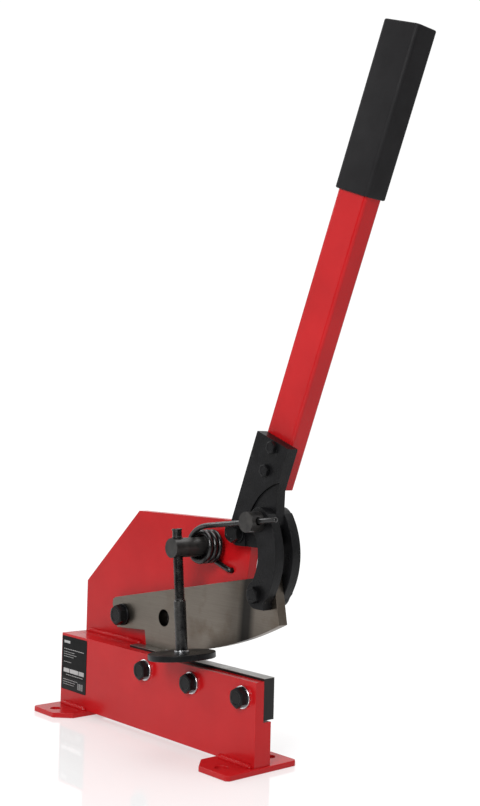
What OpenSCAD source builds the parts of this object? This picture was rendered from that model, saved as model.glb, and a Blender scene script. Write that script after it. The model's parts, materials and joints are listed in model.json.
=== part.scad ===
// Hand lever shear for plate, flat bar and round bar.
// Row frame: +Z up, +X along the base towards the open end of the throat, +Y away
// from the operator's side. The origin is the centre of the four foot bolt holes,
// on the surface that the feet stand on.

/* [Base] */
// Length of the base plate
base_l = 305; // [290:1:320]
// Height of the base plate above the feet
base_h = 73; // [70:1:76]
// Thickness of the base plate
base_t = 18.5; // [18:0.5:20]
// Thickness of the wall left in front of the lower blade
wall_t = 9.5; // [8:0.5:10]
// Thickness of the foot plates
foot_t = 5; // [4:0.5:8]
// Width of a foot along the base
foot_w = 53; // [48:1:60]
// Depth of a foot from front to back
foot_d = 82; // [76:1:96]
// Diameter of the foot bolt holes
foot_hole_d = 11; // [9:0.5:13]
// Distance between the foot bolt holes along the base
foot_hole_x = 263; // [255:1:270]
// Distance between the foot bolt holes from front to back
foot_hole_y = 56; // [52:1:60]

/* [Blades] */
// Thickness of the lower blade
lower_blade_t = 12; // [10:0.5:12]
// Height of the lower blade
lower_blade_h = 36; // [32:1:38]
// Thickness of the upper blade
blade_t = 10; // [8:0.5:12]
// Angle of the upper blade's back edge above the horizontal
blade_rake = 11.1; // [10:0.1:12]
// Radius of the curved cutting edge
edge_r = 450; // [440:1:460]
// Diameter of the round bar cutting hole
bar_hole_d = 16; // [10:0.5:18]

/* [Upper frame] */
// Thickness of the upper frame plate
upper_t = 10; // [8:0.5:12]
// Height of the upper frame plate's top edge above the ground
upper_top_z = 211.5; // [208:0.5:216]

/* [Lever] */
// Lean of the lever from the vertical when it rests on its stop
lever_lean = 21.6; // [15:0.1:30]
// Width of the lever plate
lever_w = 43; // [40:1:48]
// Thickness of the lever plate
lever_t = 12; // [11:0.5:14]
// Length of the handle from the pivot to the end of the grip
handle_l = 460; // [400:5:600]
// Length of the grip
grip_l = 142; // [110:1:160]
// Width of the lever tube
tube_w = 35; // [30:1:36]
// Depth of the lever tube
tube_d = 20; // [15:1:24]
// Thickness of a link plate
link_t = 10; // [8:0.5:12]

/* [Hold-down] */
// Diameter of the hold-down bar
bar_d = 18; // [16:0.5:18]
// Lean of the hold-down screw as stored
hold_lean = 6; // [0:0.5:12]
// Diameter of the pad
pad_d = 62; // [50:1:64]
// Thickness of the pad
pad_t = 5.5; // [4:0.5:8]
// Distance from the bar's axis to the top of the pad
pad_drop = 94; // [88:0.5:96]
// Diameter of the return spring's wire
wire_d = 5; // [4:0.5:5]

/* [Hidden] */
$fn = 64;

// clearances: a running fit per side, and the gap between faces that slide past
fit = 0.05;
gap = 0.3;

// levels along Y, from the operator's side to the back
y_front = -9;
y_wall = y_front + wall_t;
y_shear = y_wall + lower_blade_t;
y_blade = y_shear + gap;
y_blade_back = y_blade + blade_t;
y_upper = y_blade_back + gap;
y_upper_back = y_upper + upper_t;
y_lever = y_blade_back - lever_t;
y_link = y_shear - link_t;
y_hold = -23;
y_bar_front = -30.5;

// levels along Z
z_top = foot_t + base_h;
z_ledge = 42.5;
z_edge = 80.3;
z_blade_low = z_edge - lower_blade_h;
z_filler = 44;

// places along X
x_end = base_l / 2;
x_pocket = -44;

// pivots as [x, z]
blade_pivot = [-74.2, 105.3];
lever_pivot = [101.3, 202];
pin_at = [137.8, 214.3];
link_at = [136.5, 150.2];
bar_at = [57.5, 185.8];
spring_foot = [81.5, 165];

// bolts along the lower blade
bolt_x = [-5, 65.5, 136];
bolt_z = 63;
m6 = 3;
m8 = 4;
m10 = 5;
m12 = 6;

// blade outline in the blade's own frame, from its pivot and along its back edge
blade_top = 18.5;
blade_end = 230.3;
blade_step = 34.5;
edge_centre = [111.8, 409.1];
link_hole_r = 9.3;
bar_hole = [67.6, -7.9];
link_hole = [215.4, 3.5];

// link outline: both eyes lie on one arc around link_centre
eye_r = 12.5;
link_centre = [96.5, 184.5];
link_r_in = 41.5;
link_r_out = 64.5;
pin_r = 7;
pin_head_r = 9;

// lever outline in the lever's own frame: [across, along]
hub_r = 12;
plate_top = 94.5;
tube_mid = 4.5;
tube_from = 51;
tube_r = 3;
tube_wall = 2;
grip_wall = 2.7;
relief_at = [61.9, 18.2];
relief_r = 54;
tube_bolt_at = [[12.5, 66.5], [12.5, 88.5]];

// hold-down screw, measured down its own axis from the bar
screw_top = -17.5;
shank_from = 47;
shank_r = 5.5;
spigot_r = 3.5;

// return spring: a coil around the bar, a foot that ends in the upper plate and an arm
coil_at = bar_at + [1.5, 0];
coil_r = bar_d / 2 + 2 + wire_d / 2;
coil_turns = 3.25;
coil_front = 0.5;
spring_foot_l = 5;
coil_back = y_upper - gap - wire_d / 2;
arm_y = -5;
arm_slope = 7;
bend_w = 40;
arm_knee = 45;
arm_reach = 30;
hook_r = wire_d / 2 + 0.1;
ring_ref = [0.27, 1, 0.96];
wire_sides = 10;
turn_steps = 24;

// ---------- helpers ----------

// solid plate of a flat outline drawn in X and Z, from y0 to y0 + t
module plate_y(y0, t) {
    translate([0, y0 + t, 0])
        rotate([90, 0, 0])
            linear_extrude(t)
                children();
}

// round bar along Y at p = [x, z]
module rod_y(p, y0, len, r) {
    translate([p[0], y0, p[1]])
        rotate([-90, 0, 0])
            cylinder(h = len, r = r);
}

// hexagon prism along Y, across_flats wide, with two corners up and down
module hex_y(p, y0, len, across_flats) {
    translate([p[0], y0, p[1]])
        rotate([-90, 0, 0])
            rotate([0, 0, 90])
                cylinder(h = len, r = across_flats / sqrt(3), $fn = 6);
}

// washer along Y
module washer_y(p, y0, t, r_out, r_in) {
    difference() {
        rod_y(p, y0, t, r_out);
        rod_y(p, y0 - 1, t + 2, r_in);
    }
}

// nut along Y
module nut_y(p, y0, len, across_flats, r) {
    difference() {
        hex_y(p, y0, len, across_flats);
        rod_y(p, y0 - 1, len + 2, r + fit);
    }
}

// bolt along Y: the head's underside is at y_face and the shank runs towards +Y
module bolt_y(p, y_face, shank_l, r, head_h, across_flats) {
    hex_y(p, y_face - head_h, head_h, across_flats);
    rod_y(p, y_face - 0.01, shank_l + 0.01, r);
}

module at_xz(p) {
    translate([p[0], p[1]])
        children();
}

module disc(p, r) {
    at_xz(p)
        circle(r = r);
}

// rectangle with round corners, centred
module round_rect(w, h, r) {
    square([w - 2 * r, h], center = true);
    square([w, h - 2 * r], center = true);
    for (sx = [-1, 1], sy = [-1, 1])
        translate([sx * (w / 2 - r), sy * (h / 2 - r)])
            circle(r = r, $fn = 32);
}

// the blade's own frame: origin at its pivot, X along its back edge
module in_blade() {
    translate([blade_pivot[0], 0, blade_pivot[1]])
        rotate([0, -blade_rake, 0])
            children();
}

// the lever's own frame: origin at its pivot, Z along the handle
module in_lever() {
    translate([lever_pivot[0], 0, lever_pivot[1]])
        rotate([0, lever_lean, 0])
            children();
}

// the hold-down screw's frame: origin on the bar's axis, Z up the screw
module in_screw() {
    translate([bar_at[0], y_hold, bar_at[1]])
        rotate([0, -hold_lean, 0])
            children();
}

// an [x, z] offset from the lever's pivot, in the lever's own frame
function to_lever(d) = [
    d[0] * cos(lever_lean) - d[1] * sin(lever_lean),
    d[0] * sin(lever_lean) + d[1] * cos(lever_lean)
];

// a point of the blade's own frame, in the row's frame
function from_blade(p) = blade_pivot + [
    p[0] * cos(blade_rake) - p[1] * sin(blade_rake),
    p[0] * sin(blade_rake) + p[1] * cos(blade_rake)
];

function unit(v) = v / norm(v);

// direction of a path at point i
function heading(path, i) =
    unit(path[min(i + 1, len(path) - 1)] - path[max(i - 1, 0)]);

// one ring of points around a path that never runs along ring_ref
function ring(path, i, r, n) =
    let (t = heading(path, i), u = unit(cross(t, ring_ref)), v = cross(u, t))
    [for (k = [0:n - 1]) path[i] + r * (cos(360 * k / n) * u + sin(360 * k / n) * v)];

// round wire swept along a path
module wire(path, r, n) {
    rings = len(path);
    points = [for (i = [0:rings - 1]) each ring(path, i, r, n)];
    sides = [
        for (i = [0:rings - 2], k = [0:n - 1])
            let (a = i * n + k, b = i * n + (k + 1) % n)
            each [[a, a + n, b], [b, a + n, b + n]]
    ];
    start = [for (k = [0:n - 1]) k];
    finish = [for (k = [0:n - 1]) (rings - 1) * n + n - 1 - k];
    polyhedron(points = points, faces = concat([start, finish], sides));
}

// ---------- frame ----------

module base_plate() {
    color("firebrick")
        difference() {
            translate([-x_end, y_front, foot_t])
                cube([base_l, base_t, base_h]);
            translate([x_pocket, y_wall, z_ledge])
                cube([base_l, base_t, base_h]);
            for (x = bolt_x)
                rod_y([x, bolt_z], y_front - 1, base_t + 2, m10 + fit);
        }
}

// one foot: its inner front corner is cut off, side is -1 for left and 1 for right
module foot(side) {
    outer = x_end + 2;
    inner = outer - foot_w;
    y_near = y_front - 32;
    y_far = y_near + foot_d;
    cut = 15;
    outline = [
        [outer - 3, y_near], [inner + cut, y_near], [inner, y_near + cut],
        [inner, y_far - cut], [inner + cut, y_far], [outer - 3, y_far],
        [outer, y_far - 3], [outer, y_near + 3]
    ];
    difference() {
        linear_extrude(foot_t)
            polygon([for (p = outline) [side * p[0], p[1]]]);
        for (s = [-1, 1])
            translate([side * foot_hole_x / 2, s * foot_hole_y / 2, -1])
                cylinder(h = foot_t + 2, d = foot_hole_d);
    }
}

module foot_left() {
    color("firebrick") foot(-1);
}

module foot_right() {
    color("firebrick") foot(1);
}

module filler_block() {
    y_back_of_base = y_front + base_t;
    color("firebrick")
        translate([-x_end, y_back_of_base, z_filler])
            cube([x_pocket + x_end, y_upper - y_back_of_base, z_top - z_filler]);
}

module upper_plate() {
    x_left = -x_end - 3;
    outline = [
        [x_left, z_filler], [x_pocket, z_filler], [x_pocket, 84], [98.1, 133],
        [106.9, 188.5], [114.5, 197], [114.5, upper_top_z], [-65, upper_top_z],
        [x_left, 131]
    ];
    color("firebrick")
        difference() {
            plate_y(y_upper, upper_t)
                polygon(outline);
            rod_y(blade_pivot, y_upper - 1, upper_t + 2, m12 + fit);
            rod_y(lever_pivot, y_upper - 1, upper_t + 2, m10 + fit);
            rod_y(bar_at, y_upper - 1, upper_t + 2, m12 + fit);
            rod_y(from_blade(bar_hole), y_upper - 1, upper_t + 2, bar_hole_d / 2);
            rod_y(spring_foot, y_upper - 1, spring_foot_l + 2, wire_d / 2 + fit);
        }
}

module lower_blade() {
    color("dimgray")
        difference() {
            translate([x_pocket, y_wall, z_blade_low])
                cube([x_end - x_pocket, lower_blade_t, lower_blade_h]);
            for (x = bolt_x)
                rod_y([x, bolt_z], y_wall - 1, lower_blade_t + 2, m10 + fit);
        }
}

module lower_blade_bolts() {
    color("darkslategray")
        for (x = bolt_x)
            bolt_y([x, bolt_z], y_front - 2, wall_t + lower_blade_t + 1, m10, 6.4, 16);
}

module lower_blade_washers() {
    color("silver")
        for (x = bolt_x)
            washer_y([x, bolt_z], y_front - 2, 2, 10, m10 + fit);
}

module label_plate() {
    color("black")
        translate([-x_end + 1, y_front - 0.3, 20])
            cube([46, 0.3, 55.5]);
}

// ---------- blade pivot ----------

module blade_pivot_bolt() {
    washer_face = y_blade - gap - 2;
    color("darkslategray")
        bolt_y(blade_pivot, washer_face, y_upper_back - washer_face + 16, m12, 7.5, 18);
}

module blade_pivot_washers() {
    color("darkslategray") {
        washer_y(blade_pivot, y_blade - gap - 2, 2, 11, m12 + fit);
        washer_y(blade_pivot, y_upper_back, 2.5, 12, m12 + fit);
    }
}

module blade_pivot_nut() {
    color("darkslategray")
        nut_y(blade_pivot, y_upper_back + 2.5, 10, 18, m12);
}

// ---------- lever pivot ----------

module lever_pivot_bolt() {
    washer_face = y_lever - gap - 2;
    color("darkslategray")
        bolt_y(lever_pivot, washer_face, y_upper_back - washer_face + 13, m10, 6.4, 16);
}

module lever_pivot_washers() {
    color("darkslategray") {
        washer_y(lever_pivot, y_lever - gap - 2, 2, 10, m10 + fit);
        washer_y(lever_pivot, y_upper_back, 2, 10, m10 + fit);
    }
}

module lever_pivot_nut() {
    color("darkslategray")
        nut_y(lever_pivot, y_upper_back + 2, 8, 16, m10);
}

// ---------- return spring ----------

// point of the coil after a given number of turns from its front end
function coil_point(turns) =
    let (a = 180 + 360 * turns)
    [
        coil_at[0] + coil_r * cos(a),
        coil_front + (coil_back - coil_front) * turns / coil_turns,
        coil_at[1] + coil_r * sin(a)
    ];

module return_spring() {
    steps = coil_turns * turn_steps;
    coil = [for (i = [0:steps]) coil_point(i / turn_steps)];
    corner = [spring_foot[0], coil_back, spring_foot[1]];
    leg = unit(corner - coil[len(coil) - 1]);
    hook = [for (a = [0:30:90])
        corner + hook_r * ((sin(a) - 1) * leg + [0, 1 - cos(a), 0])];
    end = [spring_foot[0], y_upper + spring_foot_l, spring_foot[1]];
    color("black")
        wire(concat(coil, hook, [end]), wire_d / 2, wire_sides);
}

// the arm leaves the coil upwards on its left and bends over: a stretch of an ellipse
// that ends on the straight line through the pin
module return_spring_arm() {
    from = coil_point(0) + [0, 0, 0.8];
    pin = [pin_at[0], arm_y, pin_at[1]];
    along = [cos(arm_slope), 0, sin(arm_slope)];
    end_height = pin[2] - from[2] - (pin[0] - from[0] - bend_w) * tan(arm_slope);
    end_drop = bend_w * tan(arm_slope);
    bend_h = sqrt(end_height * end_height - end_drop * end_drop);
    bend_end = atan2(bend_h, end_drop);
    bend = [for (i = [0:8])
        let (a = bend_end * i / 8)
        from + [bend_w * (1 - cos(a)), (arm_y - from[1]) * i / 10, bend_h * sin(a)]];
    knee = pin - arm_knee * along;
    color("black")
        wire(concat(bend, [knee, pin + arm_reach * along]), wire_d / 2, wire_sides);
}

// ---------- upper blade ----------

module upper_blade() {
    tail = [
        [-12.5, -12], [blade_step, -17.7], [blade_step, -60], [blade_end, -60],
        [blade_end, blade_top], [-11, blade_top], [-15.5, 17], [-17, 12]
    ];
    color("gray")
        in_blade()
            difference() {
                plate_y(y_blade, blade_t)
                    intersection() {
                        polygon(tail);
                        at_xz(edge_centre)
                            circle(r = edge_r, $fn = 180);
                    }
                rod_y([0, 0], y_blade - 1, blade_t + 2, m12 + fit);
                rod_y(bar_hole, y_blade - 1, blade_t + 2, bar_hole_d / 2);
                rod_y(link_hole, y_blade - 1, blade_t + 2, link_hole_r);
            }
}

// ---------- lever ----------

module lever_outline() {
    ear = to_lever(pin_at - lever_pivot);
    low = to_lever([pin_at[0] - lever_pivot[0] - 2, -hub_r]);
    tangent = to_lever([0, -hub_r]);
    polygon([
        [-hub_r, 0], tangent, low, [ear[0] + eye_r, ear[1] - 1],
        [lever_w - hub_r, ear[1] + 30], [lever_w - hub_r, plate_top], [-hub_r, plate_top]
    ]);
    circle(r = hub_r);
    disc(ear, eye_r);
}

module lever_plate() {
    relief = y_blade - y_lever;
    ear = to_lever(pin_at - lever_pivot);
    color("darkslategray")
        in_lever()
            difference() {
                plate_y(y_lever, lever_t)
                    lever_outline();
                rod_y(relief_at, y_lever - 1, relief + 1, relief_r);
                rod_y([0, 0], y_lever - 1, lever_t + 2, m10 + fit);
                rod_y(ear, y_lever - 1, lever_t + 2, pin_r + fit);
                for (p = tube_bolt_at)
                    rod_y(p, y_lever - 1, lever_t + 2, m6 + fit);
            }
}

// stands children on the tube's axis, with their XY section across the handle
module on_tube(z0) {
    in_lever()
        translate([tube_mid, y_blade_back + tube_d / 2, z0])
            children();
}

module lever_tube() {
    len = handle_l - 5 - tube_from;
    color("firebrick")
        difference() {
            on_tube(tube_from)
                linear_extrude(len)
                    difference() {
                        round_rect(tube_w, tube_d, tube_r);
                        round_rect(tube_w - 2 * tube_wall, tube_d - 2 * tube_wall, 1.2);
                    }
            in_lever()
                for (p = tube_bolt_at)
                    rod_y(p, y_blade_back - 1, tube_wall + 2, m6 + fit);
        }
}

module lever_grip() {
    w = tube_w + 2 * grip_wall;
    d = tube_d + 2 * grip_wall;
    color("black")
        on_tube(handle_l - grip_l)
            difference() {
                linear_extrude(grip_l)
                    round_rect(w, d, 4);
                translate([0, 0, -1])
                    linear_extrude(grip_l - 4 + 1)
                        round_rect(tube_w + 2 * fit, tube_d + 2 * fit, tube_r);
            }
}

module lever_tube_bolts() {
    color("darkslategray")
        in_lever()
            for (p = tube_bolt_at)
                bolt_y(p, y_lever, lever_t + tube_wall + 7, m6, 4, 10);
}

// welded inside the tube, behind its front wall
module lever_tube_nuts() {
    color("darkslategray")
        in_lever()
            for (p = tube_bolt_at)
                nut_y(p, y_blade_back + tube_wall, 5, 10, m6);
}

// ---------- links ----------

// sickle link: an arc band between two eyes; the front one has a square lower corner
module link_outline(square_corner) {
    difference() {
        intersection() {
            disc(link_centre, link_r_out);
            polygon([
                link_centre,
                link_centre + 3 * (pin_at - link_centre),
                link_centre + [150, 0],
                link_centre + 3 * (link_at - link_centre)
            ]);
        }
        disc(link_centre, link_r_in);
    }
    disc(pin_at, eye_r);
    disc(link_at, eye_r);
    if (square_corner)
        translate([link_at[0], link_at[1] - eye_r])
            square([eye_r - 1.8, eye_r]);
}

module link(y0, square_corner) {
    difference() {
        plate_y(y0, link_t)
            link_outline(square_corner);
        rod_y(pin_at, y0 - 1, link_t + 2, pin_r + fit);
        rod_y(link_at, y0 - 1, link_t + 2, m8 + fit);
    }
}

module link_front() {
    color("black") link(y_link, true);
}

module link_rear() {
    color("black") link(y_upper, false);
}

module link_bolt() {
    color("darkslategray")
        bolt_y(link_at, y_link, y_upper + link_t - y_link + 12, m8, 5.3, 13);
}

module link_nut() {
    color("darkslategray")
        nut_y(link_at, y_upper + link_t, 6.5, 13, m8);
}

module link_pin() {
    head_from = -12.5;
    head_to = y_link - gap;
    tail_to = y_upper + link_t + 5;
    groove = y_upper + link_t + gap;
    color("dimgray")
        difference() {
            union() {
                rod_y(pin_at, head_from, head_to - head_from, pin_head_r);
                rod_y(pin_at, head_to - 0.01, tail_to - head_to, pin_r);
            }
            translate([pin_at[0], arm_y, pin_at[1]])
                rotate([0, 90 - arm_slope, 0])
                    cylinder(h = 30, r = wire_d / 2 + 1.1, center = true);
            washer_y(pin_at, groove, 1.6, pin_r + 1, pin_r - 1);
        }
}

module link_pin_ring() {
    color("dimgray")
        washer_y(pin_at, y_upper + link_t + gap + 0.05, 1.5, pin_r + 3.5, pin_r - 0.95);
}

// ---------- hold-down ----------

module hold_down_bar() {
    thread_to = y_upper_back + 16;
    color("dimgray")
        difference() {
            union() {
                rod_y(bar_at, y_bar_front, y_upper - gap - y_bar_front, bar_d / 2);
                rod_y(bar_at, y_upper - gap - 0.01, thread_to - y_upper + gap, m12);
            }
            in_screw()
                cylinder(h = 30, r = m10 + fit, center = true);
        }
}

module hold_down_washer() {
    color("dimgray")
        washer_y(bar_at, y_upper_back + gap, 2.5, 12, m12 + fit);
}

module hold_down_nut() {
    color("dimgray")
        nut_y(bar_at, y_upper_back + gap + 2.5, 10, 18, m12);
}

// threaded rod with a thicker plain shank and a spigot that turns in the pad
module hold_down_screw() {
    spigot_l = pad_t - 1;
    color("darkslategray")
        in_screw() {
            translate([0, 0, -shank_from])
                cylinder(h = shank_from - screw_top, r = m10);
            translate([0, 0, gap - pad_drop])
                cylinder(h = pad_drop - gap - shank_from, r = shank_r);
            translate([0, 0, -pad_drop - spigot_l])
                cylinder(h = spigot_l + 1, r = spigot_r);
        }
}

module hold_down_pad() {
    color("black")
        in_screw()
            translate([0, 0, -pad_drop - pad_t])
                difference() {
                    cylinder(h = pad_t, d = pad_d, $fn = 96);
                    translate([0, 0, 0.5])
                        cylinder(h = pad_t, r = spigot_r + fit);
                }
}

module hold_down_ring() {
    color("silver")
        in_screw()
            translate([0, 0, -pad_drop])
                difference() {
                    cylinder(h = 2, r = shank_r + 1.3);
                    translate([0, 0, -1])
                        cylinder(h = 4, r = shank_r + 0.1);
                }
}

base_plate();
foot_left();
foot_right();
filler_block();
upper_plate();
lower_blade();
lower_blade_bolts();
lower_blade_washers();
label_plate();
blade_pivot_bolt();
blade_pivot_washers();
blade_pivot_nut();
lever_pivot_bolt();
lever_pivot_washers();
lever_pivot_nut();
return_spring();
return_spring_arm();
upper_blade();
lever_plate();
lever_tube();
lever_grip();
lever_tube_bolts();
lever_tube_nuts();
link_front();
link_rear();
link_bolt();
link_nut();
link_pin();
link_pin_ring();
hold_down_bar();
hold_down_washer();
hold_down_nut();
hold_down_screw();
hold_down_pad();
hold_down_ring();
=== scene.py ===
import json
import math
import random

import bmesh
import bpy
from mathutils import Matrix, Vector, noise


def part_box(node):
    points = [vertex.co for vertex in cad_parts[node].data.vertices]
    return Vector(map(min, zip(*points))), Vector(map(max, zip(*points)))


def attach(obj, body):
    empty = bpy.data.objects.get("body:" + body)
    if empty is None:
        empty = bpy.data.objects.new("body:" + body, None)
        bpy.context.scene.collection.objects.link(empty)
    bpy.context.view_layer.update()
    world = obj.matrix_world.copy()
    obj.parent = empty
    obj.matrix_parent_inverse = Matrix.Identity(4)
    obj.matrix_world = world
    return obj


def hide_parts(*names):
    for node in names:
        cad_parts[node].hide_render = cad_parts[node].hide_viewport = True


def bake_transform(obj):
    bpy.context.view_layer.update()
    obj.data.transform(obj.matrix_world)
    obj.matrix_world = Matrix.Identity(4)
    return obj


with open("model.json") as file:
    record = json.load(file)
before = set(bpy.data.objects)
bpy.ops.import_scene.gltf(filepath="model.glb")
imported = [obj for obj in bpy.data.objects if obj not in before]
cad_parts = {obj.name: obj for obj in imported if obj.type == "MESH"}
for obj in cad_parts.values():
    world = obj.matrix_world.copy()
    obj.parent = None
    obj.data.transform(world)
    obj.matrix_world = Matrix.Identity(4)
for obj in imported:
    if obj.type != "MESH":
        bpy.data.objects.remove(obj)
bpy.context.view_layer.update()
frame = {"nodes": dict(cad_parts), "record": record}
record = frame["record"]
slot_of = {s["node"]: s["material_slot"] for s in record["subparts"]}
body_of = {n: b for b, nodes in record["behaviour"]["bodies"].items() for n in nodes}
joint_of = {j["name"]: j for j in record["behaviour"]["joints"]}

MM = 0.001
RING = 48
CORNERS = 6
RINGS_PER_PITCH = 6
MERGE = 1e-6
SHARP_FROM = math.radians(28)
CHAMFER = math.radians(30)
LEVER_LEAN = math.radians(21.6)
HOLD_LEAN = math.radians(6.0)
OUT_FRONT = Vector((0, -1, 0))
OUT_BACK = Vector((0, 1, 0))
UP = Vector((0, 0, 1))
LEVER_UP = Vector((math.sin(LEVER_LEAN), 0, math.cos(LEVER_LEAN)))


# ---------- material nodes ----------

class Shader:
    """A Principled material with a few short ways to add texture nodes in object space."""

    def __init__(self, name):
        self.mat = bpy.data.materials.new(name)
        self.mat.use_nodes = True
        self.nodes = self.mat.node_tree.nodes
        self.links = self.mat.node_tree.links
        self.bsdf = self.nodes["Principled BSDF"]
        self.coords = self.nodes.new("ShaderNodeTexCoord").outputs["Object"]

    def set(self, **values):
        for key, value in values.items():
            self.bsdf.inputs[key.replace("_", " ")].default_value = value

    def join(self, output, node, key):
        self.links.new(output, node.inputs[key])

    def space(self, scale=(1, 1, 1), turn=(0, 0, 0), shift=(0, 0, 0)):
        node = self.nodes.new("ShaderNodeMapping")
        node.inputs["Scale"].default_value = scale
        node.inputs["Rotation"].default_value = turn
        node.inputs["Location"].default_value = shift
        self.join(self.coords, node, "Vector")
        return node.outputs["Vector"]

    def noise(self, scale, detail=3.0, rough=0.55, space=None):
        node = self.nodes.new("ShaderNodeTexNoise")
        node.inputs["Scale"].default_value = scale
        node.inputs["Detail"].default_value = detail
        node.inputs["Roughness"].default_value = rough
        self.join(space or self.coords, node, "Vector")
        return node.outputs["Fac"]

    def rings(self, centre, per_metre):
        node = self.nodes.new("ShaderNodeTexWave")
        node.wave_type = "RINGS"
        node.rings_direction = "Y"
        node.inputs["Scale"].default_value = per_metre
        node.inputs["Distortion"].default_value = 0.6
        self.join(self.space(shift=(-centre.x, 0, -centre.z)), node, "Vector")
        return node.outputs["Fac"]

    def ramp(self, value, *stops):
        node = self.nodes.new("ShaderNodeValToRGB")
        ends = node.color_ramp.elements
        for i, (place, colour) in enumerate(stops):
            stop = ends[i] if i < len(ends) else ends.new(place)
            stop.position = place
            stop.color = (*colour, 1) if isinstance(colour, tuple) else (colour, colour, colour, 1)
        self.join(value, node, "Fac")
        return node.outputs["Color"]

    def mix(self, factor, first, second):
        node = self.nodes.new("ShaderNodeMix")
        node.data_type = "RGBA"
        for value, key in ((factor, 0), (first, 6), (second, 7)):
            if isinstance(value, tuple):
                node.inputs[key].default_value = (*value, 1)
            else:
                self.links.new(value, node.inputs[key])
        return node.outputs[2]

    def range(self, value, low, high, to_low, to_high):
        node = self.nodes.new("ShaderNodeMapRange")
        for key, number in (("From Min", low), ("From Max", high), ("To Min", to_low), ("To Max", to_high)):
            node.inputs[key].default_value = number
        self.join(value, node, "Value")
        return node.outputs["Result"]

    def axis(self, vector, letter):
        node = self.nodes.new("ShaderNodeSeparateXYZ")
        self.join(vector, node, "Vector")
        return node.outputs[letter]

    def near_axis(self, centre, inner, outer):
        """1 within inner of the front-to-back line through centre, falling to 0 at outer."""
        node = self.nodes.new("ShaderNodeVectorMath")
        node.operation = "LENGTH"
        self.join(self.space((1, 0, 1), shift=(-centre.x, 0, -centre.z)), node, "Vector")
        return self.range(node.outputs["Value"], inner, outer, 1, 0)

    def colour(self, output):
        self.join(output, self.bsdf, "Base Color")

    def roughness(self, output):
        self.join(output, self.bsdf, "Roughness")

    def bump(self, *heights):
        """Each height is (output, strength, depth in metres); they add up."""
        normal = None
        for output, strength, depth in heights:
            node = self.nodes.new("ShaderNodeBump")
            node.inputs["Strength"].default_value = strength
            node.inputs["Distance"].default_value = depth
            self.join(output, node, "Height")
            if normal is not None:
                self.join(normal, node, "Normal")
            normal = node.outputs["Normal"]
        self.join(normal, self.bsdf, "Normal")


def red_enamel(name, painted_shade_at=None, drawn=False):
    """Glossy red paint, with a dark patch of painted shade round the given middle point, where shade falls
    on the plate behind the blade's bore; drawn adds a tube's long streaks.
    """
    s = Shader(name)
    s.set(Metallic=0.0, IOR=1.46, Specular_IOR_Level=0.26)
    cloud = s.noise(14, 4)
    base = s.ramp(cloud, (0.3, (0.40, 0.0050, 0.0070)), (0.7, (0.49, 0.0080, 0.0105)))
    speck = s.ramp(s.noise(1100, 1), (0.79, 0.0), (0.84, 1.0))
    paint = s.mix(speck, base, (0.36, 0.006, 0.008))
    # painted shade: the paint darkened round the bore's axis, where shade falls behind the blade's hole
    if painted_shade_at is not None:
        paint = s.mix(s.near_axis(painted_shade_at, 0.012, 0.018), paint, (0.006, 0.004, 0.003))
    s.colour(paint)
    s.roughness(s.range(s.noise(45, 5, 0.65), 0.3, 0.7, 0.17, 0.27))
    if drawn:
        streaks = s.noise(1, 4, 0.6, s.space((230, 230, 3), (0, -LEVER_LEAN, 0)))
        s.bump((streaks, 0.22, 0.0008), (s.noise(420, 2), 0.05, 0.0002))
    else:
        s.bump((s.noise(420, 2), 0.05, 0.0002), (s.noise(38, 2), 0.16, 0.0010))
    return s.mat


def black_oxide(name, grain):
    """Satin black finish; grain is the strength of its fine pitting."""
    s = Shader(name)
    s.set(Metallic=0.0, IOR=1.42, Specular_IOR_Level=0.20)
    cloud = s.noise(55, 5, 0.6)
    base = s.ramp(cloud, (0.30, (0.0035, 0.0035, 0.0038)), (0.72, (0.010, 0.010, 0.011)))
    rub = s.ramp(s.noise(160, 6, 0.75), (0.62, 0.0), (0.78, 1.0))
    s.colour(s.mix(rub, base, (0.035, 0.035, 0.036)))
    s.roughness(s.range(s.noise(90, 4), 0.3, 0.7, 0.24, 0.42))
    s.bump((s.noise(650, 3), grain, 0.0004), (s.noise(80, 3), 0.25, 0.0008))
    return s.mat


def edge_ground():
    """Blackened lower blade, ground bright along its top face."""
    s = Shader("edge_ground")
    s.set(IOR=1.45, Specular_IOR_Level=0.30)
    # either side of the blade's top face, at z = 80 mm
    below_top, above_top = 0.0799, 0.0801
    height = s.axis(s.coords, "Z")
    top = s.range(height, below_top, above_top, 0, 1)
    lines = s.noise(5, 6, 0.7, s.space((8, 200, 8)))
    bare = s.ramp(lines, (0.3, (0.26, 0.25, 0.24)), (0.7, (0.40, 0.39, 0.37)))
    black = s.ramp(s.noise(55, 5, 0.6), (0.30, (0.0035, 0.0035, 0.0036)), (0.72, (0.011, 0.010, 0.010)))
    s.colour(s.mix(top, black, bare))
    s.join(top, s.bsdf, "Metallic")
    s.roughness(s.range(s.noise(90, 4), 0.3, 0.7, 0.26, 0.40))
    s.bump((s.noise(650, 3), 0.15, 0.0002))
    return s.mat


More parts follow.
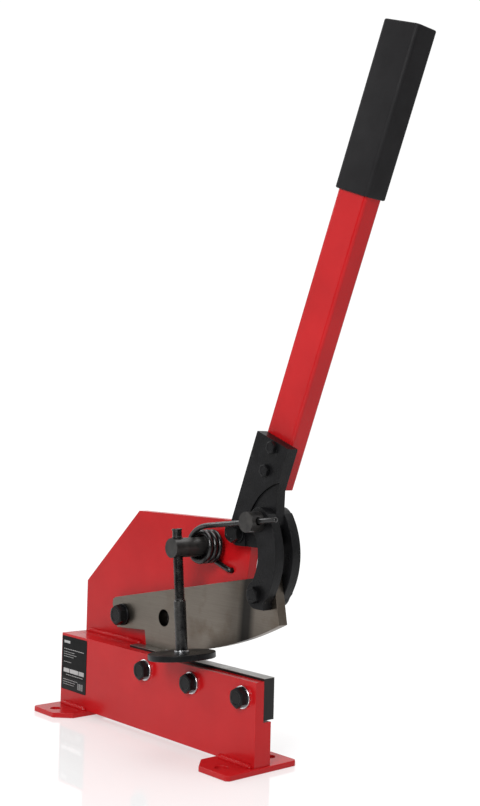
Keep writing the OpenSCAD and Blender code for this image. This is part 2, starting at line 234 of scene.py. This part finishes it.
def ground_steel(painted_bore_shade_at):
    """Surface ground blade: fine grinding lines, oil stains, a dark stripe of painted reflection and
    painted shade in the bore.
    """
    s = Shader("ground_steel")
    s.set(Metallic=1.0)
    lines = s.noise(5, 8, 0.75, s.space((6, 20, 260), (0, math.radians(11.1), 0)))
    base = s.ramp(lines, (0.25, (0.158, 0.136, 0.114)), (0.75, (0.212, 0.188, 0.161)))
    stain = s.ramp(s.noise(24, 6, 0.65), (0.50, 0.0), (0.68, 1.0))
    stained = s.mix(s.range(stain, 0, 1, 0, 0.55), base, (0.105, 0.074, 0.050))
    # the painted reflection's soft edges, as X in metres, leaning 4 degrees with the dark stripe
    starts, full_from, full_to, ends = 0.0925, 0.1005, 0.1085, 0.1165
    across = s.axis(s.space(turn=(0, math.radians(-4), 0)), "X")
    left = s.range(across, starts, full_from, 0, 1)
    right = s.range(across, full_to, ends, 1, 0)
    painted_reflection_stripe = s.nodes.new("ShaderNodeMath")
    painted_reflection_stripe.operation = "MULTIPLY"
    s.links.new(left, painted_reflection_stripe.inputs[0])
    s.links.new(right, painted_reflection_stripe.inputs[1])
    # painted reflection: a dark stripe standing for a dark part of the room mirrored in the steel
    with_painted_reflection = s.mix(s.range(painted_reflection_stripe.outputs[0], 0, 1, 0, 0.88), stained, (0.020, 0.020, 0.020))
    # painted shade: the bore's wall and rim darkened, where shade falls in the hole
    s.colour(s.mix(s.near_axis(painted_bore_shade_at, 0.0081, 0.0087), with_painted_reflection, (0.012, 0.010, 0.008)))
    s.roughness(s.range(s.noise(30, 5), 0.3, 0.7, 0.30, 0.44))
    s.bump((lines, 0.06, 0.0001))
    return s.mat


def dark_steel(name, centre):
    """Turned and blackened bar: faint lathe rings on the faces around its own axis."""
    s = Shader(name)
    s.set(Metallic=0.5)
    cloud = s.noise(120, 5, 0.6)
    s.colour(s.ramp(cloud, (0.3, (0.020, 0.019, 0.019)), (0.75, (0.055, 0.052, 0.049))))
    s.roughness(s.range(s.noise(200, 3), 0.3, 0.7, 0.30, 0.46))
    s.bump((s.rings(centre, 420), 0.12, 0.0002), (s.noise(500, 2), 0.10, 0.0002))
    return s.mat


def worn_thread():
    """Blackened screw whose crests catch the light."""
    s = Shader("worn_thread")
    s.set(Metallic=0.85)
    s.colour(s.ramp(s.noise(120, 4), (0.3, (0.018, 0.018, 0.019)), (0.72, (0.085, 0.083, 0.080))))
    s.roughness(s.range(s.noise(260, 3), 0.3, 0.7, 0.22, 0.38))
    s.bump((s.noise(700, 2), 0.08, 0.0002))
    return s.mat


def spring_steel():
    s = Shader("spring_steel")
    s.set(Metallic=0.8, Coat_Weight=0.4, Coat_Roughness=0.18)
    s.colour(s.ramp(s.noise(90, 4), (0.3, (0.010, 0.010, 0.011)), (0.75, (0.035, 0.034, 0.034))))
    s.roughness(s.range(s.noise(300, 3), 0.3, 0.7, 0.24, 0.40))
    s.bump((s.noise(700, 2), 0.10, 0.0002))
    return s.mat


def bright_zinc():
    s = Shader("bright_zinc")
    s.set(Metallic=1.0)
    s.colour(s.ramp(s.noise(140, 4), (0.3, (0.50, 0.51, 0.53)), (0.7, (0.74, 0.75, 0.77))))
    s.roughness(s.range(s.noise(220, 3), 0.3, 0.7, 0.22, 0.36))
    s.bump((s.noise(600, 2), 0.08, 0.0002))
    return s.mat


def grip_rubber():
    s = Shader("grip_rubber")
    s.set(Metallic=0.0, IOR=1.45, Specular_IOR_Level=0.20)
    cloud = s.noise(40, 4)
    dust = s.ramp(s.noise(700, 2), (0.70, 0.0), (0.80, 1.0))
    base = s.ramp(cloud, (0.3, (0.0075, 0.0070, 0.0078)), (0.7, (0.011, 0.0105, 0.0115)))
    s.colour(s.mix(dust, base, (0.022, 0.021, 0.022)))
    s.roughness(s.range(s.noise(60, 4), 0.3, 0.7, 0.50, 0.64))
    s.bump((s.noise(1500, 2), 0.30, 0.0002), (s.noise(60, 2), 0.10, 0.0006))
    return s.mat


def film(name, low, high):
    s = Shader(name)
    s.set(Metallic=0.0, IOR=1.45, Specular_IOR_Level=0.10)
    s.colour(s.ramp(s.noise(70, 3), (0.3, low), (0.7, high)))
    s.roughness(s.range(s.noise(120, 3), 0.3, 0.7, 0.32, 0.44))
    s.bump((s.noise(500, 2), 0.06, 0.0002))
    return s.mat


# ---------- mesh building ----------

def ring_stack(rings, closed=False):
    """Joins rings of points, all with the same count, into one closed surface."""
    bm = bmesh.new()
    loops = [[bm.verts.new(p) for p in ring] for ring in rings]
    count = len(rings[0])
    pairs = list(zip(loops, loops[1:])) + ([(loops[-1], loops[0])] if closed else [])
    for low, high in pairs:
        for i in range(count):
            j = (i + 1) % count
            bm.faces.new((low[i], low[j], high[j], high[i]))
    if not closed:
        bm.faces.new(list(reversed(loops[0])))
        bm.faces.new(loops[-1])
    return bm


def circle(radius, z, count=RING):
    return [Vector((radius * math.cos(a), radius * math.sin(a), z))
            for a in (2 * math.pi * i / count for i in range(count))]


def hexagon_radius(across_flats, i):
    step = 2 * math.pi / CORNERS
    from_flat = (2 * math.pi * i / RING) % step - step / 2
    return across_flats / 2 / math.cos(from_flat)


def hexagon(across_flats, height_at):
    points = []
    for i in range(RING):
        a, r = 2 * math.pi * i / RING, hexagon_radius(across_flats, i)
        points.append(Vector((r * math.cos(a), r * math.sin(a), height_at(r))))
    return points


def chamfered(across_flats, z, side):
    """A hexagon whose corners fall away from z by a 30 degree chamfer."""
    flat_r = 0.475 * across_flats
    return hexagon(across_flats, lambda r: z - side * (r - flat_r) * math.tan(CHAMFER))


def thread(radius, pitch, low, high):
    """Rings of a helical thread, from z = low up to z = high, fading out at both ends."""
    steps = max(2, round((high - low) / pitch * RINGS_PER_PITCH))
    depth = 0.54 * pitch
    rings = []
    for k in range(steps + 1):
        z = low + (high - low) * k / steps
        fade = min(1.0, min(k, steps - k) / 5)
        ring = []
        for i in range(RING):
            a = 2 * math.pi * i / RING
            wave = abs(((z / pitch - i / RING) % 1.0) * 2 - 1)
            r = radius - depth * fade * min(1.0, 1.25 * wave)
            ring.append(Vector((r * math.cos(a), r * math.sin(a), z)))
        rings.append(ring)
    return rings


def bolt_rings(across_flats, head_h, radius, pitch, length):
    """A hex bolt: z = 0 is the underside of its head, and its shank runs down."""
    washer_r, rim = 0.47 * across_flats, 0.3 * MM
    tip = 0.6 * pitch
    thread_end = -max(0.35 * length, length - 5 * radius)
    rings = [circle(radius - tip, -length)]
    rings += thread(radius, pitch, tip - length, thread_end)
    rings += [circle(radius, thread_end + 0.2 * MM), circle(radius, 0), circle(washer_r, 0),
              circle(washer_r, rim), hexagon(across_flats, lambda r: rim),
              chamfered(across_flats, head_h, 1), circle(0.475 * across_flats, head_h),
              circle(0.36 * across_flats, head_h), circle(0.33 * across_flats, head_h - 0.35 * MM)]
    return rings


def nut_rings(across_flats, height, radius):
    inner, lead = radius + 0.05 * MM, 0.7 * MM
    flat_r = 0.475 * across_flats
    return [circle(inner, lead), circle(inner + lead, 0), circle(flat_r, 0),
            chamfered(across_flats, 0, -1), chamfered(across_flats, height, 1),
            circle(flat_r, height), circle(inner + lead, height), circle(inner, height - lead)]


def washer_rings(outer, inner, thick):
    soft = 0.25 * MM
    return [circle(inner, 0), circle(outer - soft, 0), circle(outer, soft),
            circle(outer, thick - soft), circle(outer - soft, thick), circle(inner, thick)]


def placed(bm, centre, out, up):
    """Turns a shape built around local Z to stand at centre, Z along out and X along up."""
    side = out.cross(up)
    m = Matrix((up, side, out)).transposed().to_4x4()
    m.translation = centre
    bm.transform(m)
    return bm


def merged(parts):
    whole = bmesh.new()
    for part in parts:
        mesh = bpy.data.meshes.new("part")
        part.to_mesh(mesh)
        part.free()
        whole.from_mesh(mesh)
        bpy.data.meshes.remove(mesh)
    return whole


def add_piece(name, bm, material, *nodes, body=None, slot=None, sharp=32, rides=True):
    """A finished piece. It rides body, or its first node's body; a blended piece doesn't ride."""
    bmesh.ops.recalc_face_normals(bm, faces=bm.faces)
    mesh = bpy.data.meshes.new(name)
    bm.to_mesh(mesh)
    bm.free()
    mesh.materials.append(material)
    mesh.shade_smooth()
    mesh.set_sharp_from_angle(angle=math.radians(sharp))
    piece = bpy.data.objects.new(name, mesh)
    bpy.context.collection.objects.link(piece)
    if rides:
        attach(piece, body or body_of[nodes[0]])
    if nodes:
        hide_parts(*nodes)
    return piece


def solids(node):
    """The box of each separate solid of a CAD node, from left to right."""
    bm = bmesh.new()
    bm.from_mesh(frame["nodes"][node].data)
    bmesh.ops.remove_doubles(bm, verts=bm.verts, dist=MERGE)
    left, boxes = set(bm.verts), []
    while left:
        queue, island = [left.pop()], []
        while queue:
            vert = queue.pop()
            island.append(vert.co.copy())
            for edge in vert.link_edges:
                other = edge.other_vert(vert)
                if other in left:
                    left.remove(other)
                    queue.append(other)
        low = Vector([min(p[i] for p in island) for i in range(3)])
        high = Vector([max(p[i] for p in island) for i in range(3)])
        boxes.append((low, high))
    bm.free()
    return sorted(boxes, key=lambda box: box[0].x)


def refined(node, material, edge, segments=2):
    """Stands for a CAD node: the same shape with its sharp edges rounded off by edge."""
    bm = bmesh.new()
    bm.from_mesh(frame["nodes"][node].data)
    bmesh.ops.remove_doubles(bm, verts=bm.verts, dist=MERGE)
    bmesh.ops.dissolve_limit(bm, angle_limit=math.radians(0.5), verts=bm.verts, edges=bm.edges)
    sharp = [e for e in bm.edges if e.is_manifold and e.calc_face_angle() > SHARP_FROM]
    bmesh.ops.bevel(bm, geom=sharp, offset=edge, offset_type="OFFSET", segments=segments,
                    profile=0.5, affect="EDGES", clamp_overlap=True)
    piece = add_piece(node + "_finished", bm, material, node, sharp=40)
    weights = piece.modifiers.new("weights", "WEIGHTED_NORMAL")
    weights.keep_sharp = True
    return piece


# ---------- the finishes ----------

pin_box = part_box("link_pin")
bar_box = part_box("hold_down_bar")
BAR_HOLE = Vector(next(m["pos_m"] for m in record["mounts"] if m["name"] == "round_bar_hole"))


def middle(box):
    return (Vector(box[0]) + Vector(box[1])) / 2


RED = red_enamel("red_enamel")
RED_DRAWN = red_enamel("red_enamel_drawn", drawn=True)
# upper plate paint, with painted shade behind the blade's bore
RED_PAINTED_SHADE = red_enamel("red_enamel_painted_shade", BAR_HOLE)
OXIDE = black_oxide("black_oxide", 0.22)
CAST_BLACK = black_oxide("cast_black", 0.60)
GROUND = ground_steel(BAR_HOLE)
EDGE_GROUND = edge_ground()
SPRING = spring_steel()
SCREW_STEEL = worn_thread()
ZINC = bright_zinc()
RUBBER = grip_rubber()
PIN_STEEL = dark_steel("pin_steel", middle(pin_box))
BAR_STEEL = dark_steel("bar_steel", middle(bar_box))
LABEL_BLACK = film("label_black", (0.0025, 0.0025, 0.0028), (0.0050, 0.0050, 0.0055))
LABEL_GREY = film("label_grey", (0.010, 0.010, 0.011), (0.016, 0.016, 0.017))
LABEL_PALE = film("label_pale", (0.36, 0.36, 0.36), (0.46, 0.46, 0.46))


# ---------- plates, blades and turned parts ----------

for node in ("base_plate", "foot_left", "foot_right", "filler_block"):
    refined(node, RED, 0.8 * MM)
refined("upper_plate", RED_PAINTED_SHADE, 0.8 * MM)
refined("lever_tube", RED_DRAWN, 0.3 * MM)
refined("lower_blade", EDGE_GROUND, 0.2 * MM)
refined("upper_blade", GROUND, 0.3 * MM)
for node in ("lever_plate", "link_front", "link_rear"):
    refined(node, CAST_BLACK, 0.7 * MM)
refined("link_pin", PIN_STEEL, 0.5 * MM)
refined("link_pin_ring", SPRING, 0.2 * MM)
refined("hold_down_bar", BAR_STEEL, 0.6 * MM)
refined("hold_down_pad", OXIDE, 0.8 * MM, 3)
refined("hold_down_ring", ZINC, 0.3 * MM)


# ---------- fasteners ----------

# node: across flats, head height, thread radius and pitch, in mm
BOLTS = {
    "lower_blade_bolts": (16, 6.4, 5, 1.5),
    "blade_pivot_bolt": (18, 7.5, 6, 1.75),
    "lever_pivot_bolt": (16, 6.4, 5, 1.5),
    "lever_tube_bolts": (10, 4, 3, 1),
    "link_bolt": (13, 5.3, 4, 1.25),
}
# node: across flats and thread radius, in mm
NUTS = {
    "blade_pivot_nut": (18, 6),
    "lever_pivot_nut": (16, 5),
    "lever_tube_nuts": (10, 3),
    "link_nut": (13, 4),
    "hold_down_nut": (18, 6),
}
# node: hole radius, in mm
WASHERS = {
    "lower_blade_washers": 5.05,
    "blade_pivot_washers": 6.05,
    "lever_pivot_washers": 5.05,
    "hold_down_washer": 6.05,
}
# fasteners that lean with the lever
TURNED = {"lever_tube_bolts": LEVER_UP, "lever_tube_nuts": LEVER_UP}


def seat(low, high, y):
    """The middle of a fastener's box, at depth y."""
    return Vector(((low.x + high.x) / 2, y, (low.z + high.z) / 2))


for node, (flats, head_h, radius, pitch) in BOLTS.items():
    parts = []
    for low, high in solids(node):
        length = high.y - low.y - head_h * MM
        rings = bolt_rings(flats * MM, head_h * MM, radius * MM, pitch * MM, length)
        parts.append(placed(ring_stack(rings), seat(low, high, low.y + head_h * MM),
                            OUT_FRONT, TURNED.get(node, UP)))
    add_piece(node + "_detailed", merged(parts), OXIDE, node)

for node, (flats, radius) in NUTS.items():
    parts = []
    for low, high in solids(node):
        rings = nut_rings(flats * MM, high.y - low.y, radius * MM)
        parts.append(placed(ring_stack(rings, closed=True), seat(low, high, low.y),
                            OUT_BACK, TURNED.get(node, UP)))
    add_piece(node + "_detailed", merged(parts), OXIDE, node)

for node, hole in WASHERS.items():
    parts = []
    for low, high in solids(node):
        rings = washer_rings((high.x - low.x) / 2, hole * MM, high.y - low.y)
        parts.append(placed(ring_stack(rings, closed=True), seat(low, high, low.y), OUT_BACK, UP))
    finish = ZINC if slot_of[node] == "zinc" else OXIDE
    add_piece(node + "_detailed", merged(parts), finish, node)


# ---------- hold-down screw ----------

def hold_down_screw():
    """Thread to the top with two flats, plain shank below, and a spigot in the pad."""
    at = Vector(joint_of["screw_turn"]["pos_m"])
    axis = Vector(joint_of["screw_turn"]["axis"]).normalized()
    top, shank_top, shank_end = 17.5 * MM, -47 * MM, -93.7 * MM
    thread_r, shank_r, spigot_r = 4.95 * MM, 5.5 * MM, 3.5 * MM
    flat, flat_low, flat_high = 3.6 * MM, 10.5 * MM, 15.5 * MM

    def flats(z, radius):
        return [Vector((max(-flat, min(flat, p.x)), p.y, z)) for p in circle(radius, z)]

    rings = [circle(spigot_r, -98.5 * MM), circle(spigot_r, shank_end),
             circle(shank_r - 0.5 * MM, shank_end), circle(shank_r, shank_end + 0.5 * MM),
             circle(shank_r, shank_top - 1.2 * MM), circle(4.7 * MM, shank_top - 0.2 * MM)]
    rings += thread(thread_r, 1.5 * MM, shank_top, flat_low - 0.5 * MM)
    rings += [circle(4.3 * MM, flat_low - 0.3 * MM), flats(flat_low, 4.3 * MM),
              flats(flat_high, 4.3 * MM), circle(4.3 * MM, flat_high + 0.3 * MM),
              circle(4.8 * MM, flat_high + 0.6 * MM), circle(4.8 * MM, top - 0.6 * MM),
              circle(4.2 * MM, top), circle(2.2 * MM, top), circle(2.0 * MM, top - 0.5 * MM)]
    across = Vector((math.cos(HOLD_LEAN), 0, math.sin(HOLD_LEAN)))
    bm = placed(ring_stack(rings), at, axis, across)
    add_piece("hold_down_screw_detailed", bm, SCREW_STEEL, "hold_down_screw")


hold_down_screw()


# ---------- grip ----------

def rounded_box_ring(width, depth, corner, z):
    """A ring in local XY with round corners, on a rectangle centred on the axis."""
    points = []
    quarter = RING // 4
    for i in range(RING):
        turn = math.pi / 2 * (i // quarter) + math.pi / 2 * (i % quarter) / (quarter - 1)
        sx, sy = ((1, 1), (-1, 1), (-1, -1), (1, -1))[i // quarter]
        points.append(Vector((sx * (width / 2 - corner) + corner * math.cos(turn),
                              sy * (depth / 2 - corner) + corner * math.sin(turn), z)))
    return points


def lever_grip():
    pivot = Vector(joint_of["lever_swing"]["pos_m"])
    across = Vector((LEVER_UP.z, 0, -LEVER_UP.x))
    low, high = (Vector(c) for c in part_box("lever_tube"))
    tube_w, tube_d, wall, soft = 35 * MM, high.y - low.y, 2.7 * MM, 1.4 * MM
    start, end, mid = 318 * MM, 460 * MM, 4.5 * MM
    w, d = tube_w + 2 * wall, tube_d + 2 * wall
    rings = [rounded_box_ring(tube_w + 0.1 * MM, tube_d + 0.1 * MM, 3 * MM, end - 4 * MM),
             rounded_box_ring(tube_w + 0.1 * MM, tube_d + 0.1 * MM, 3 * MM, start)]
    steps = 4
    for k in range(steps + 1):
        a = math.pi / 2 * k / steps
        inset = soft * (1 - math.sin(a))
        rings.append(rounded_box_ring(w - 2 * inset, d - 2 * inset, 4 * MM - inset * 0.5,
                                      start + soft * (1 - math.cos(a))))
    for k in range(steps + 1):
        a = math.pi / 2 * k / steps
        inset = soft * (1 - math.cos(a))
        rings.append(rounded_box_ring(w - 2 * inset, d - 2 * inset, 4 * MM - inset * 0.5,
                                      end - soft * (1 - math.sin(a))))
    centre = pivot + across * mid
    centre.y = (low.y + high.y) / 2
    bm = placed(ring_stack(rings), centre, LEVER_UP, across)
    add_piece("lever_grip_moulded", bm, RUBBER, "lever_grip")


lever_grip()


# ---------- return spring ----------

def swept(path, radius, sides=20):
    """A round wire along a path, with domed ends."""
    rings, normal = [], Vector((0.27, 1, 0.96))
    last = len(path) - 1
    for i, point in enumerate(path):
        ahead = (path[min(i + 1, last)] - path[max(i - 1, 0)]).normalized()
        normal = (normal - ahead * normal.dot(ahead)).normalized()
        side = ahead.cross(normal)
        rings.append([point + radius * (math.cos(a) * normal + math.sin(a) * side)
                      for a in (2 * math.pi * k / sides for k in range(sides))])
    for end, inner in ((0, 1), (last, last - 1)):
        out = (path[end] - path[inner]).normalized()
        domes = []
        for share in (0.35, 0.7, 0.93):
            shrink = math.sqrt(1 - share * share)
            centre = path[end] + out * radius * share * 0.6
            domes.append([centre + (p - path[end]) * shrink for p in rings[0 if end == 0 else -1]])
        if end == 0:
            dome_start = list(reversed(domes))
        else:
            rings += domes
    return ring_stack(dome_start + rings)


def return_spring():
    """Coil round the bar, its rear leg hooked into the plate, its front arm through the pin."""
    bar = Vector(joint_of["spring_arm_swing"]["pos_m"])
    pin = Vector(joint_of["link_pin_turn"]["pos_m"])
    wire_r, coil_r, turns = 2.5 * MM, 13.5 * MM, 3.25
    centre = bar + Vector((1.5, 0, 0)) * MM
    hook_depth, hook_tip = 7.8 * MM, 7.4 * MM
    front, back, arm_y = 0.5 * MM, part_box("return_spring")[1][1] - hook_depth, -5 * MM
    slope, bend_w, reach = math.radians(7), 40 * MM, 30 * MM
    start = Vector((centre.x - coil_r, front, centre.z))

    rise = pin.z - start.z - (pin.x - start.x - bend_w) * math.tan(slope)
    drop = bend_w * math.tan(slope)
    bend_h = math.sqrt(rise * rise - drop * drop)
    bend_end = math.atan2(bend_h, drop)
    along = Vector((math.cos(slope), 0, math.sin(slope)))
    arm = [Vector((pin.x, arm_y, pin.z)) + along * reach * (1 - k / 6 * 2.5) for k in range(7)]
    for k in range(16):
        a = bend_end * (1 - k / 16)
        arm.append(start + Vector((bend_w * (1 - math.cos(a)), 0, bend_h * math.sin(a)))
                   + Vector((0, (arm_y - front) * (a / bend_end) ** 1.5 * 0.8, 0)))
    coil, steps = [], 40
    for k in range(int(turns * steps) + 1):
        a = math.pi + 2 * math.pi * k / steps
        y = front + (back - front) * k / (turns * steps)
        coil.append(Vector((centre.x + coil_r * math.cos(a), y, centre.z + coil_r * math.sin(a))))
    # where the rear leg turns into its hole in the upper plate
    corner = Vector((81.5 * MM, back, 165 * MM))
    leg = (corner - coil[-1]).normalized()
    hook_r = 2.6 * MM
    hook = [coil[-1].lerp(corner, share) for share in (0.25, 0.5, 0.75)]
    for k in range(7):
        a = math.pi / 2 * k / 6
        hook.append(corner + hook_r * ((math.sin(a) - 1) * leg + Vector((0, 1 - math.cos(a), 0))))
    hook.append(Vector((corner.x, back + hook_tip, corner.z)))
    bm = swept(arm + coil + hook, wire_r)
    piece = add_piece("return_spring_wound", bm, SPRING, "return_spring", "return_spring_arm", rides=False)
    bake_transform(piece)


return_spring()


# ---------- welds ----------

# a bead's height over its width
WELD_SQUEEZE = 0.8


def weld(name, start, end, radius):
    """A painted weld bead from start to end: overlapping ripples on a soft round bar."""
    length = (end - start).length
    along = (end - start).normalized()
    side = Vector((0, 1, 0))
    up = along.cross(side)
    steps = int(length / (0.6 * MM))
    rings = []
    for k in range(steps + 1):
        s = k / steps
        ripple = 0.10 * math.sin(2 * math.pi * s * length / (2.6 * MM))
        drift = 0.12 * noise.noise(Vector((s * length * 90, radius * 1000, 0.5)))
        taper = math.sqrt(max(0.0, 1 - max(0.0, abs(s - 0.5) * 2 - 1 + 2 * radius / length) ** 2
                              / (2 * radius / length) ** 2))
        r = radius * max(0.08, taper) * (1 + ripple + drift)
        lag = along * (-0.25 * r)
        ring = []
        for i in range(20):
            a = 2 * math.pi * i / 20
            crown = lag * (-abs(math.cos(a)))
            ring.append(start + along * s * length + crown
                        + r * (math.cos(a) * side + WELD_SQUEEZE * math.sin(a) * up))
        rings.append(ring)
    add_piece(name, ring_stack(rings), RED, body="frame", slot="red_paint", sharp=60)


def foot_welds():
    base_low, base_high = (Vector(c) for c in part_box("base_plate"))
    inset, radius = 3 * MM, 3.4 * MM
    for side in ("left", "right"):
        low, high = (Vector(c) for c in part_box("foot_" + side))
        x0, x1 = max(low.x, base_low.x) + inset, min(high.x, base_high.x) - inset
        z = high.z + 0.6 * MM
        for face, y in (("front", base_low.y), ("back", base_high.y)):
            weld(f"weld_foot_{side}_{face}", Vector((x0, y, z)), Vector((x1, y, z)), radius)


def plate_weld():
    low, high = (Vector(c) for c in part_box("filler_block"))
    radius = 3.6 * MM
    y, z = high.y - 1 * MM, high.z + 0.4 * MM
    weld("weld_upper_plate", Vector((low.x + 4 * MM, y, z)), Vector((high.x - 10 * MM, y, z)), radius)


foot_welds()
plate_weld()


# ---------- label ----------

def thin_plate(x0, x1, z0, z1, y0, y1, corner):
    """A thin upright plate with round corners, its face towards the operator."""
    ring, count = [], 6
    for cx, cz, first in ((x1 - corner, z1 - corner, 0), (x0 + corner, z1 - corner, 90),
                          (x0 + corner, z0 + corner, 180), (x1 - corner, z0 + corner, 270)):
        for k in range(count):
            a = math.radians(first + 90 * k / (count - 1))
            ring.append((cx + corner * math.cos(a), cz + corner * math.sin(a)))
    return ring_stack([[Vector((x, y, z)) for x, z in ring] for y in (y0, y1)])


def label():
    low, high = (Vector(c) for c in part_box("label_plate"))
    strip_top = low.z + 13 * MM
    skin = 0.04 * MM
    bm = thin_plate(low.x, high.x, low.z, high.z, low.y, high.y, 1.5 * MM)
    add_piece("label_film", bm, LABEL_BLACK, "label_plate")
    bm = thin_plate(low.x + 0.6 * MM, high.x - 0.6 * MM, low.z + 0.6 * MM, strip_top,
                    low.y - skin, low.y, 1 * MM)
    add_piece("label_strip", bm, LABEL_GREY, body="frame", slot="label")
    # rows of plain dashes: (left, right, bottom, height, dash) in mm from the lower left corner
    rows = [(4, 15, 48.5, 2.6, 12), (4, 41, 42.0, 0.6, 3), (4, 24, 39.0, 0.5, 2.4), (4, 27, 36.6, 0.5, 2.4),
            (4, 22, 34.2, 0.5, 2.4), (4, 18, 28.6, 0.5, 2.0), (4, 42, 18.0, 4.2, 13), (9, 40, 15.4, 0.6, 3),
            (4, 30, 10.2, 0.5, 2.4), (4, 26, 7.8, 0.5, 2.4), (4, 24, 5.4, 0.5, 2.4)]
    random.seed(7)
    bars = [(31 + 1.5 * k, 31.4 + 1.5 * k + random.uniform(0, 0.6), 3.0, 9.6) for k in range(7)]
    for left, right, bottom, height, dash in rows:
        x = left
        while x < right:
            end = min(right, x + dash * random.uniform(0.7, 1.2))
            bars.append((x, end, bottom, bottom + height))
            x = end + 0.25 * min(dash, 4)
    parts = [thin_plate(low.x + left * MM, low.x + right * MM, low.z + bottom * MM, low.z + top * MM,
                        low.y - 2 * skin, low.y - skin / 2, 0.1 * MM)
             for left, right, bottom, top in bars if right - left > 0.3]
    add_piece("label_bars", merged(parts), LABEL_PALE, body="frame", slot="label")


label()


# ---------- floor, lights and camera ----------

def floor():
    half = 6.0
    mesh = bpy.data.meshes.new("floor")
    corners = [(-half, -half, 0), (half, -half, 0), (half, half, 0), (-half, half, 0)]
    mesh.from_pydata(corners, [], [(0, 1, 2, 3)])
    plane = bpy.data.objects.new("floor", mesh)
    bpy.context.collection.objects.link(plane)
    s = Shader("floor_white")
    s.set(IOR=1.45, Emission_Strength=0.46)
    s.bsdf.inputs["Emission Color"].default_value = (1, 1, 1, 1)
    s.colour(s.ramp(s.noise(2, 2), (0.3, 0.44), (0.7, 0.46)))
    s.roughness(s.range(s.noise(3, 2), 0.3, 0.7, 0.03, 0.05))
    mesh.materials.append(s.mat)


def area_light(name, at, target, size, power):
    data = bpy.data.lights.new(name, "AREA")
    data.shape = "RECTANGLE"
    data.size, data.size_y = size
    data.energy = power
    lamp = bpy.data.objects.new(name, data)
    lamp.location = at
    lamp.rotation_euler = (Vector(target) - Vector(at)).to_track_quat("-Z", "Y").to_euler()
    bpy.context.collection.objects.link(lamp)


def studio():
    """White backdrop behind the object, a dimmer room on the camera's side."""
    world = bpy.data.worlds.new("studio")
    bpy.context.scene.world = world
    world.use_nodes = True
    nodes, links = world.node_tree.nodes, world.node_tree.links
    back = nodes["Background"]
    coords = nodes.new("ShaderNodeTexCoord")
    dot = nodes.new("ShaderNodeVectorMath")
    dot.operation = "DOT_PRODUCT"
    dot.inputs[1].default_value = (-0.55, 0.83, 0.10)
    spread = nodes.new("ShaderNodeMapRange")
    for key, number in (("From Min", -0.30), ("From Max", 0.75), ("To Min", 0.05), ("To Max", 0.85)):
        spread.inputs[key].default_value = number
    links.new(coords.outputs["Generated"], dot.inputs[0])
    links.new(dot.outputs["Value"], spread.inputs["Value"])
    links.new(spread.outputs["Result"], back.inputs["Strength"])
    back.inputs["Color"].default_value = (1, 1, 1, 1)
    seen = nodes.new("ShaderNodeBackground")
    seen.inputs["Color"].default_value = (1, 1, 1, 1)
    seen.inputs["Strength"].default_value = 1.05
    choose = nodes.new("ShaderNodeMixShader")
    path = nodes.new("ShaderNodeLightPath")
    links.new(path.outputs["Is Camera Ray"], choose.inputs[0])
    links.new(back.outputs[0], choose.inputs[1])
    links.new(seen.outputs[0], choose.inputs[2])
    links.new(choose.outputs[0], nodes["World Output"].inputs["Surface"])
    area_light("key", (1.1, -1.9, 1.25), (0, 0, 0.15), (0.9, 0.9), 43)
    area_light("top", (0.2, 0.5, 2.1), (0, 0, 0), (1.8, 1.8), 30)
    area_light("fill", (-1.9, -0.6, 1.5), (0, 0, 0.2), (0.8, 0.8), 10)
    area_light("card", (-1.7, -1.9, 0.9), (0.15, 0, 0.4), (1.3, 1.3), 5)


def camera():
    """Stands to the right of the operator's place, low, and looks slightly up."""
    yaw, pitch, roll = math.radians(48.438), math.radians(2.254), math.radians(1.38)
    look = Vector((-math.sin(yaw) * math.cos(pitch), math.cos(yaw) * math.cos(pitch), math.sin(pitch)))
    right = look.cross(UP).normalized()
    up = right.cross(look)
    right, up = (right * math.cos(roll) + up * math.sin(roll), up * math.cos(roll) - right * math.sin(roll))
    data = bpy.data.cameras.new("camera")
    data.sensor_fit = "VERTICAL"
    data.sensor_height = 36.0
    data.lens = 49.25
    view = bpy.data.objects.new("camera", data)
    turn = Matrix((right, up, -look)).transposed().to_4x4()
    turn.translation = Vector((852.2, -655.6, 279.9)) * MM
    view.matrix_world = turn
    bpy.context.collection.objects.link(view)
    bpy.context.scene.camera = view


floor()
studio()
camera()
bpy.context.scene.view_settings.view_transform = "Standard"
